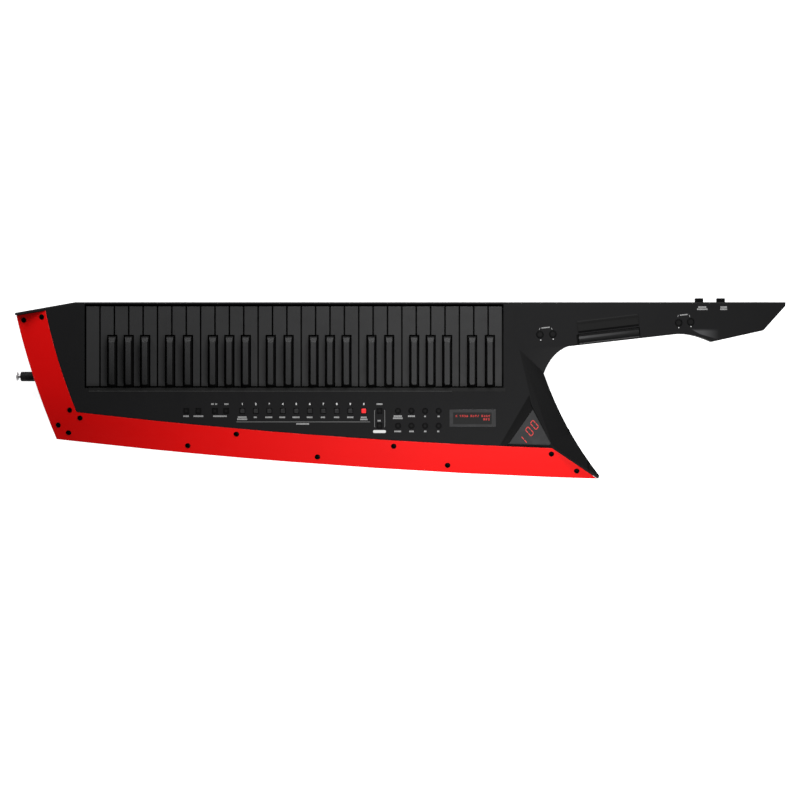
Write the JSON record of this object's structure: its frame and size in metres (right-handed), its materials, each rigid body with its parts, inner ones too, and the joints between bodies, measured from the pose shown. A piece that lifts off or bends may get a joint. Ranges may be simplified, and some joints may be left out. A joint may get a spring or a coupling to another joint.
{
  "type": "keytar",
  "caption": "Shoulder keyboard with sprung black keys in a slim two-shell case, a red edge cover, a control panel, and a neck with modulation bar, ribbon and thumb buttons.",
  "frame": {"origin": "centre of the bounding box in X and Y, on the flat back on which the instrument lies", "axes": "+X towards the head of the neck, +Y towards the playing ends of the keys, +Z out of the control panel"},
  "size_m": [1.2634, 0.296, 0.0795],
  "materials": {
    "case": "fine-grained black moulding",
    "bed": "plain dark moulding",
    "cover": "satin red lacquer",
    "natural_key": "satin black moulding",
    "sharp_key": "satin black moulding",
    "smoked": "smoked window",
    "rubber": "black silicone rubber",
    "bar": "satin black moulding",
    "steel": "polished metal with a black collar"
  },
  "bodies": {
    "case": {"front_case": "case", "rear_case": "case", "edge_cover": "cover", "key_chassis": "bed", "light_window": "smoked", "end_strap_pin": "steel"},
    "modulation_bar": {"modulation_bar": "bar"},
    "panel_buttons": {"panel_buttons": "rubber"},
    "octave_buttons": {"octave_buttons": "rubber"},
    "patch_buttons": {"patch_buttons": "rubber"},
    "thumb_buttons": {"thumb_buttons": "rubber"},
    "key_C6": {"key_C6": "natural_key"},
    "key_B5": {"key_B5": "natural_key"},
    "key_A5": {"key_A5": "natural_key"},
    "key_G5": {"key_G5": "natural_key"},
    "key_F5": {"key_F5": "natural_key"},
    "key_E5": {"key_E5": "natural_key"},
    "key_D5": {"key_D5": "natural_key"},
    "key_C5": {"key_C5": "natural_key"},
    "key_B4": {"key_B4": "natural_key"},
    "key_A4": {"key_A4": "natural_key"},
    "key_G4": {"key_G4": "natural_key"},
    "key_F4": {"key_F4": "natural_key"},
    "key_E4": {"key_E4": "natural_key"},
    "key_D4": {"key_D4": "natural_key"},
    "key_C4": {"key_C4": "natural_key"},
    "key_B3": {"key_B3": "natural_key"},
    "key_A3": {"key_A3": "natural_key"},
    "key_G3": {"key_G3": "natural_key"},
    "key_F3": {"key_F3": "natural_key"},
    "key_E3": {"key_E3": "natural_key"},
    "key_D3": {"key_D3": "natural_key"},
    "key_C3": {"key_C3": "natural_key"},
    "key_B2": {"key_B2": "natural_key"},
    "key_A2": {"key_A2": "natural_key"},
    "key_G2": {"key_G2": "natural_key"},
    "key_F2": {"key_F2": "natural_key"},
    "key_E2": {"key_E2": "natural_key"},
    "key_D2": {"key_D2": "natural_key"},
    "key_C2": {"key_C2": "natural_key"},
    "key_As5": {"key_As5": "sharp_key"},
    "key_Gs5": {"key_Gs5": "sharp_key"},
    "key_Fs5": {"key_Fs5": "sharp_key"},
    "key_Ds5": {"key_Ds5": "sharp_key"},
    "key_Cs5": {"key_Cs5": "sharp_key"},
    "key_As4": {"key_As4": "sharp_key"},
    "key_Gs4": {"key_Gs4": "sharp_key"},
    "key_Fs4": {"key_Fs4": "sharp_key"},
    "key_Ds4": {"key_Ds4": "sharp_key"},
    "key_Cs4": {"key_Cs4": "sharp_key"},
    "key_As3": {"key_As3": "sharp_key"},
    "key_Gs3": {"key_Gs3": "sharp_key"},
    "key_Fs3": {"key_Fs3": "sharp_key"},
    "key_Ds3": {"key_Ds3": "sharp_key"},
    "key_Cs3": {"key_Cs3": "sharp_key"},
    "key_As2": {"key_As2": "sharp_key"},
    "key_Gs2": {"key_Gs2": "sharp_key"},
    "key_Fs2": {"key_Fs2": "sharp_key"},
    "key_Ds2": {"key_Ds2": "sharp_key"},
    "key_Cs2": {"key_Cs2": "sharp_key"}
  },
  "joints": [
    {"name": "modulation_bar_press", "type": "hinge", "parent": "case", "child": "modulation_bar", "pos_m": [0.29326, 0.08461, 0.06], "axis": [0.993, 0.1184, 0], "range_deg": [0, 7], "stiffness_Nm_per_rad": 0.4, "springref_deg": -17.19},
    {"name": "thumb_buttons_press", "type": "slide", "parent": "case", "child": "thumb_buttons", "axis": [0, -1, 0], "range_m": [0, 0.0016], "stiffness_N_per_m": 500, "springref_m": -0.002},
    {"name": "octave_buttons_press", "type": "slide", "parent": "case", "child": "octave_buttons", "axis": [0, 0, -1], "range_m": [0, 0.0009], "stiffness_N_per_m": 500, "springref_m": -0.002},
    {"name": "patch_buttons_press", "type": "slide", "parent": "case", "child": "patch_buttons", "axis": [0, 0, -1], "range_m": [0, 0.0009], "stiffness_N_per_m": 500, "springref_m": -0.002},
    {"name": "panel_buttons_press", "type": "slide", "parent": "case", "child": "panel_buttons", "axis": [0, 0, -1], "range_m": [0, 0.0007], "stiffness_N_per_m": 900, "springref_m": -0.002},
    {"name": "key_C6_press", "type": "hinge", "parent": "case", "child": "key_C6", "pos_m": [-0.501, -0.02522, 0.054], "axis": [-1, 0, 0], "range_deg": [0, 3.6], "stiffness_Nm_per_rad": 0.3, "springref_deg": -20.05},
    {"name": "key_B5_press", "type": "hinge", "parent": "case", "child": "key_B5", "pos_m": [-0.4775, -0.02522, 0.054], "axis": [-1, 0, 0], "range_deg": [0, 3.6], "stiffness_Nm_per_rad": 0.3, "springref_deg": -20.05},
    {"name": "key_A5_press", "type": "hinge", "parent": "case", "child": "key_A5", "pos_m": [-0.454, -0.02522, 0.054], "axis": [-1, 0, 0], "range_deg": [0, 3.6], "stiffness_Nm_per_rad": 0.3, "springref_deg": -20.05},
    {"name": "key_G5_press", "type": "hinge", "parent": "case", "child": "key_G5", "pos_m": [-0.4305, -0.02522, 0.054], "axis": [-1, 0, 0], "range_deg": [0, 3.6], "stiffness_Nm_per_rad": 0.3, "springref_deg": -20.05},
    {"name": "key_F5_press", "type": "hinge", "parent": "case", "child": "key_F5", "pos_m": [-0.407, -0.02522, 0.054], "axis": [-1, 0, 0], "range_deg": [0, 3.6], "stiffness_Nm_per_rad": 0.3, "springref_deg": -20.05},
    {"name": "key_E5_press", "type": "hinge", "parent": "case", "child": "key_E5", "pos_m": [-0.3835, -0.02522, 0.054], "axis": [-1, 0, 0], "range_deg": [0, 3.6], "stiffness_Nm_per_rad": 0.3, "springref_deg": -20.05},
    {"name": "key_D5_press", "type": "hinge", "parent": "case", "child": "key_D5", "pos_m": [-0.36, -0.02522, 0.054], "axis": [-1, 0, 0], "range_deg": [0, 3.6], "stiffness_Nm_per_rad": 0.3, "springref_deg": -20.05},
    {"name": "key_C5_press", "type": "hinge", "parent": "case", "child": "key_C5", "pos_m": [-0.3365, -0.02522, 0.054], "axis": [-1, 0, 0], "range_deg": [0, 3.6], "stiffness_Nm_per_rad": 0.3, "springref_deg": -20.05},
    {"name": "key_B4_press", "type": "hinge", "parent": "case", "child": "key_B4", "pos_m": [-0.313, -0.02522, 0.054], "axis": [-1, 0, 0], "range_deg": [0, 3.6], "stiffness_Nm_per_rad": 0.3, "springref_deg": -20.05},
    {"name": "key_A4_press", "type": "hinge", "parent": "case", "child": "key_A4", "pos_m": [-0.2895, -0.02522, 0.054], "axis": [-1, 0, 0], "range_deg": [0, 3.6], "stiffness_Nm_per_rad": 0.3, "springref_deg": -20.05},
    {"name": "key_G4_press", "type": "hinge", "parent": "case", "child": "key_G4", "pos_m": [-0.266, -0.02522, 0.054], "axis": [-1, 0, 0], "range_deg": [0, 3.6], "stiffness_Nm_per_rad": 0.3, "springref_deg": -20.05},
    {"name": "key_F4_press", "type": "hinge", "parent": "case", "child": "key_F4", "pos_m": [-0.2425, -0.02522, 0.054], "axis": [-1, 0, 0], "range_deg": [0, 3.6], "stiffness_Nm_per_rad": 0.3, "springref_deg": -20.05},
    {"name": "key_E4_press", "type": "hinge", "parent": "case", "child": "key_E4", "pos_m": [-0.219, -0.02522, 0.054], "axis": [-1, 0, 0], "range_deg": [0, 3.6], "stiffness_Nm_per_rad": 0.3, "springref_deg": -20.05},
    {"name": "key_D4_press", "type": "hinge", "parent": "case", "child": "key_D4", "pos_m": [-0.1955, -0.02522, 0.054], "axis": [-1, 0, 0], "range_deg": [0, 3.6], "stiffness_Nm_per_rad": 0.3, "springref_deg": -20.05},
    {"name": "key_C4_press", "type": "hinge", "parent": "case", "child": "key_C4", "pos_m": [-0.172, -0.02522, 0.054], "axis": [-1, 0, 0], "range_deg": [0, 3.6], "stiffness_Nm_per_rad": 0.3, "springref_deg": -20.05},
    {"name": "key_B3_press", "type": "hinge", "parent": "case", "child": "key_B3", "pos_m": [-0.1485, -0.02522, 0.054], "axis": [-1, 0, 0], "range_deg": [0, 3.6], "stiffness_Nm_per_rad": 0.3, "springref_deg": -20.05},
    {"name": "key_A3_press", "type": "hinge", "parent": "case", "child": "key_A3", "pos_m": [-0.125, -0.02522, 0.054], "axis": [-1, 0, 0], "range_deg": [0, 3.6], "stiffness_Nm_per_rad": 0.3, "springref_deg": -20.05},
    {"name": "key_G3_press", "type": "hinge", "parent": "case", "child": "key_G3", "pos_m": [-0.1015, -0.02522, 0.054], "axis": [-1, 0, 0], "range_deg": [0, 3.6], "stiffness_Nm_per_rad": 0.3, "springref_deg": -20.05},
    {"name": "key_F3_press", "type": "hinge", "parent": "case", "child": "key_F3", "pos_m": [-0.078, -0.02522, 0.054], "axis": [-1, 0, 0], "range_deg": [0, 3.6], "stiffness_Nm_per_rad": 0.3, "springref_deg": -20.05},
    {"name": "key_E3_press", "type": "hinge", "parent": "case", "child": "key_E3", "pos_m": [-0.0545, -0.02522, 0.054], "axis": [-1, 0, 0], "range_deg": [0, 3.6], "stiffness_Nm_per_rad": 0.3, "springref_deg": -20.05},
    {"name": "key_D3_press", "type": "hinge", "parent": "case", "child": "key_D3", "pos_m": [-0.031, -0.02522, 0.054], "axis": [-1, 0, 0], "range_deg": [0, 3.6], "stiffness_Nm_per_rad": 0.3, "springref_deg": -20.05},
    {"name": "key_C3_press", "type": "hinge", "parent": "case", "child": "key_C3", "pos_m": [-0.0075, -0.02522, 0.054], "axis": [-1, 0, 0], "range_deg": [0, 3.6], "stiffness_Nm_per_rad": 0.3, "springref_deg": -20.05},
    {"name": "key_B2_press", "type": "hinge", "parent": "case", "child": "key_B2", "pos_m": [0.016, -0.02522, 0.054], "axis": [-1, 0, 0], "range_deg": [0, 3.6], "stiffness_Nm_per_rad": 0.3, "springref_deg": -20.05},
    {"name": "key_A2_press", "type": "hinge", "parent": "case", "child": "key_A2", "pos_m": [0.0395, -0.02522, 0.054], "axis": [-1, 0, 0], "range_deg": [0, 3.6], "stiffness_Nm_per_rad": 0.3, "springref_deg": -20.05},
    {"name": "key_G2_press", "type": "hinge", "parent": "case", "child": "key_G2", "pos_m": [0.063, -0.02522, 0.054], "axis": [-1, 0, 0], "range_deg": [0, 3.6], "stiffness_Nm_per_rad": 0.3, "springref_deg": -20.05},
    {"name": "key_F2_press", "type": "hinge", "parent": "case", "child": "key_F2", "pos_m": [0.0865, -0.02522, 0.054], "axis": [-1, 0, 0], "range_deg": [0, 3.6], "stiffness_Nm_per_rad": 0.3, "springref_deg": -20.05},
    {"name": "key_E2_press", "type": "hinge", "parent": "case", "child": "key_E2", "pos_m": [0.11, -0.02522, 0.054], "axis": [-1, 0, 0], "range_deg": [0, 3.6], "stiffness_Nm_per_rad": 0.3, "springref_deg": -20.05},
    {"name": "key_D2_press", "type": "hinge", "parent": "case", "child": "key_D2", "pos_m": [0.1335, -0.02522, 0.054], "axis": [-1, 0, 0], "range_deg": [0, 3.6], "stiffness_Nm_per_rad": 0.3, "springref_deg": -20.05},
    {"name": "key_C2_press", "type": "hinge", "parent": "case", "child": "key_C2", "pos_m": [0.157, -0.02522, 0.054], "axis": [-1, 0, 0], "range_deg": [0, 3.6], "stiffness_Nm_per_rad": 0.3, "springref_deg": -20.05},
    {"name": "key_As5_press", "type": "hinge", "parent": "case", "child": "key_As5", "pos_m": [-0.46915, -0.02522, 0.054], "axis": [-1, 0, 0], "range_deg": [0, 3.6], "stiffness_Nm_per_rad": 0.3, "springref_deg": -20.05},
    {"name": "key_Gs5_press", "type": "hinge", "parent": "case", "child": "key_Gs5", "pos_m": [-0.44225, -0.02522, 0.054], "axis": [-1, 0, 0], "range_deg": [0, 3.6], "stiffness_Nm_per_rad": 0.3, "springref_deg": -20.05},
    {"name": "key_Fs5_press", "type": "hinge", "parent": "case", "child": "key_Fs5", "pos_m": [-0.41535, -0.02522, 0.054], "axis": [-1, 0, 0], "range_deg": [0, 3.6], "stiffness_Nm_per_rad": 0.3, "springref_deg": -20.05},
    {"name": "key_Ds5_press", "type": "hinge", "parent": "case", "child": "key_Ds5", "pos_m": [-0.37455, -0.02522, 0.054], "axis": [-1, 0, 0], "range_deg": [0, 3.6], "stiffness_Nm_per_rad": 0.3, "springref_deg": -20.05},
    {"name": "key_Cs5_press", "type": "hinge", "parent": "case", "child": "key_Cs5", "pos_m": [-0.34545, -0.02522, 0.054], "axis": [-1, 0, 0], "range_deg": [0, 3.6], "stiffness_Nm_per_rad": 0.3, "springref_deg": -20.05},
    {"name": "key_As4_press", "type": "hinge", "parent": "case", "child": "key_As4", "pos_m": [-0.30465, -0.02522, 0.054], "axis": [-1, 0, 0], "range_deg": [0, 3.6], "stiffness_Nm_per_rad": 0.3, "springref_deg": -20.05},
    {"name": "key_Gs4_press", "type": "hinge", "parent": "case", "child": "key_Gs4", "pos_m": [-0.27775, -0.02522, 0.054], "axis": [-1, 0, 0], "range_deg": [0, 3.6], "stiffness_Nm_per_rad": 0.3, "springref_deg": -20.05},
    {"name": "key_Fs4_press", "type": "hinge", "parent": "case", "child": "key_Fs4", "pos_m": [-0.25085, -0.02522, 0.054], "axis": [-1, 0, 0], "range_deg": [0, 3.6], "stiffness_Nm_per_rad": 0.3, "springref_deg": -20.05},
    {"name": "key_Ds4_press", "type": "hinge", "parent": "case", "child": "key_Ds4", "pos_m": [-0.21005, -0.02522, 0.054], "axis": [-1, 0, 0], "range_deg": [0, 3.6], "stiffness_Nm_per_rad": 0.3, "springref_deg": -20.05},
    {"name": "key_Cs4_press", "type": "hinge", "parent": "case", "child": "key_Cs4", "pos_m": [-0.18095, -0.02522, 0.054], "axis": [-1, 0, 0], "range_deg": [0, 3.6], "stiffness_Nm_per_rad": 0.3, "springref_deg": -20.05},
    {"name": "key_As3_press", "type": "hinge", "parent": "case", "child": "key_As3", "pos_m": [-0.14015, -0.02522, 0.054], "axis": [-1, 0, 0], "range_deg": [0, 3.6], "stiffness_Nm_per_rad": 0.3, "springref_deg": -20.05},
    {"name": "key_Gs3_press", "type": "hinge", "parent": "case", "child": "key_Gs3", "pos_m": [-0.11325, -0.02522, 0.054], "axis": [-1, 0, 0], "range_deg": [0, 3.6], "stiffness_Nm_per_rad": 0.3, "springref_deg": -20.05},
    {"name": "key_Fs3_press", "type": "hinge", "parent": "case", "child": "key_Fs3", "pos_m": [-0.08635, -0.02522, 0.054], "axis": [-1, 0, 0], "range_deg": [0, 3.6], "stiffness_Nm_per_rad": 0.3, "springref_deg": -20.05},
    {"name": "key_Ds3_press", "type": "hinge", "parent": "case", "child": "key_Ds3", "pos_m": [-0.04555, -0.02522, 0.054], "axis": [-1, 0, 0], "range_deg": [0, 3.6], "stiffness_Nm_per_rad": 0.3, "springref_deg": -20.05},
    {"name": "key_Cs3_press", "type": "hinge", "parent": "case", "child": "key_Cs3", "pos_m": [-0.01645, -0.02522, 0.054], "axis": [-1, 0, 0], "range_deg": [0, 3.6], "stiffness_Nm_per_rad": 0.3, "springref_deg": -20.05},
    {"name": "key_As2_press", "type": "hinge", "parent": "case", "child": "key_As2", "pos_m": [0.02435, -0.02522, 0.054], "axis": [-1, 0, 0], "range_deg": [0, 3.6], "stiffness_Nm_per_rad": 0.3, "springref_deg": -20.05},
    {"name": "key_Gs2_press", "type": "hinge", "parent": "case", "child": "key_Gs2", "pos_m": [0.05125, -0.02522, 0.054], "axis": [-1, 0, 0], "range_deg": [0, 3.6], "stiffness_Nm_per_rad": 0.3, "springref_deg": -20.05},
    {"name": "key_Fs2_press", "type": "hinge", "parent": "case", "child": "key_Fs2", "pos_m": [0.07815, -0.02522, 0.054], "axis": [-1, 0, 0], "range_deg": [0, 3.6], "stiffness_Nm_per_rad": 0.3, "springref_deg": -20.05},
    {"name": "key_Ds2_press", "type": "hinge", "parent": "case", "child": "key_Ds2", "pos_m": [0.11895, -0.02522, 0.054], "axis": [-1, 0, 0], "range_deg": [0, 3.6], "stiffness_Nm_per_rad": 0.3, "springref_deg": -20.05},
    {"name": "key_Cs2_press", "type": "hinge", "parent": "case", "child": "key_Cs2", "pos_m": [0.14805, -0.02522, 0.054], "axis": [-1, 0, 0], "range_deg": [0, 3.6], "stiffness_Nm_per_rad": 0.3, "springref_deg": -20.05}
  ]
}
